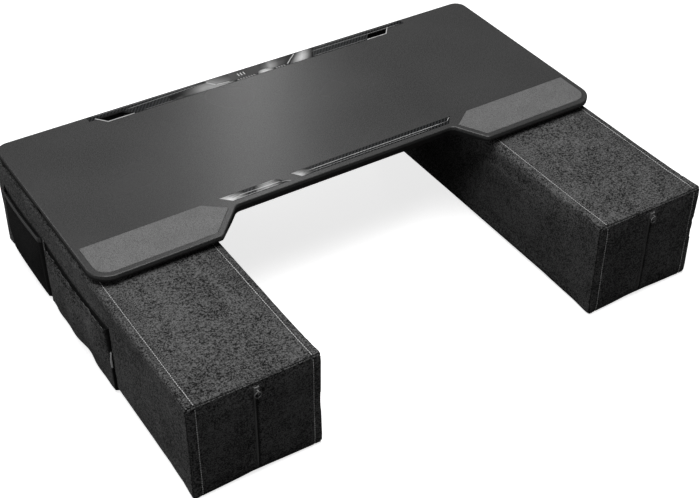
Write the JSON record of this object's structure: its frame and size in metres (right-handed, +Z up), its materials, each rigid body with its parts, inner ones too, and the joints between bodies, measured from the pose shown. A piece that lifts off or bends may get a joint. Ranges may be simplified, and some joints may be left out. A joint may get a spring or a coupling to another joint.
{
  "type": "lap desk",
  "caption": "Notched lap desk board with wrist pads, cable ports and a covered cable bay, lying loose on box cushions with a zip and side pockets.",
  "frame": {"origin": "middle of the whole desk's footprint, on the surface that the cushions stand on", "axes": "+X to the user's right along the board, +Y away from the user, +Z up"},
  "size_m": [0.8376, 0.6242, 0.1736],
  "materials": {
    "dark_plastic": "satin",
    "tray_plastic": "satin",
    "pad_grain": "matte",
    "trim_dark": "gloss",
    "bright_trim": "polished",
    "circuit_green": "satin",
    "socket_steel": "satin",
    "cable_black": "matte",
    "screw_steel": "satin",
    "grip_rubber": "matte",
    "suede": "matte",
    "foam": "matte",
    "zip_cloth": "matte",
    "zip_metal": "satin",
    "netting": "matte",
    "binding": "matte",
    "tag_white": "matte"
  },
  "bodies": {
    "left_cushion": {"left_cushion_cover": "suede", "left_cushion_foam": "foam", "left_zip_tape": "zip_cloth", "mesh_pocket": "netting", "mesh_pocket_binding": "binding", "suede_pocket": "suede", "pocket_tag": "tag_white"},
    "right_cushion": {"right_cushion_cover": "suede", "right_cushion_foam": "foam", "right_zip_tape": "zip_cloth"},
    "board": {"top_shell": "dark_plastic", "bottom_shell": "tray_plastic", "left_cable_trough": "tray_plastic", "right_cable_trough": "tray_plastic", "left_wrist_pad": "pad_grain", "right_wrist_pad": "pad_grain", "rear_trim_strip": "trim_dark", "front_left_trim": "trim_dark", "front_right_trim": "trim_dark", "left_port_trim": "bright_trim", "right_port_trim": "bright_trim", "hub_board": "circuit_green", "hub_inlet": "socket_steel", "side_port_board": "circuit_green", "side_socket": "socket_steel", "side_port_lead": "cable_black", "bay_socket_1": "socket_steel", "bay_socket_2": "socket_steel", "bay_socket_3": "socket_steel", "shell_screw_1": "screw_steel", "shell_screw_2": "screw_steel", "shell_screw_3": "screw_steel", "shell_screw_4": "screw_steel", "shell_screw_5": "screw_steel", "shell_screw_6": "screw_steel", "shell_screw_7": "screw_steel", "shell_screw_8": "screw_steel", "grip_pad_1": "grip_rubber", "grip_pad_2": "grip_rubber", "grip_pad_3": "grip_rubber", "grip_pad_4": "grip_rubber"},
    "cable_bay_cover": {"cable_bay_cover": "tray_plastic"},
    "left_zip_slider": {"left_zip_slider": "zip_metal"},
    "right_zip_slider": {"right_zip_slider": "zip_metal"},
    "left_zip_pull": {"left_zip_pull": "zip_metal"},
    "right_zip_pull": {"right_zip_pull": "zip_metal"}
  },
  "joints": [
    {"name": "right_cushion_spacing", "type": "slide", "parent": "left_cushion", "child": "right_cushion", "axis": [1, 0, 0], "range_m": [-0.01, 0.05]},
    {"name": "board_lift", "type": "slide", "parent": "left_cushion", "child": "board", "axis": [0, 0, 1], "range_m": [0, 0.25]},
    {"name": "left_zip_run", "type": "slide", "parent": "left_cushion", "child": "left_zip_slider", "axis": [0, 0, -1], "range_m": [0, 0.13]},
    {"name": "right_zip_run", "type": "slide", "parent": "right_cushion", "child": "right_zip_slider", "axis": [0, 0, -1], "range_m": [0, 0.13]},
    {"name": "left_zip_pull_swing", "type": "hinge", "parent": "left_zip_slider", "child": "left_zip_pull", "pos_m": [-0.31041, -0.31001, 0.143], "axis": [-1, 0, 0], "range_deg": [0, 150]},
    {"name": "right_zip_pull_swing", "type": "hinge", "parent": "right_zip_slider", "child": "right_zip_pull", "pos_m": [0.31989, -0.30401, 0.143], "axis": [-1, 0, 0], "range_deg": [0, 150]},
    {"name": "cable_bay_cover_hinge", "type": "hinge", "parent": "board", "child": "cable_bay_cover", "pos_m": [0.00884, 0.24519, 0.1603], "axis": [-1, 0, 0], "range_deg": [0, 90]}
  ]
}
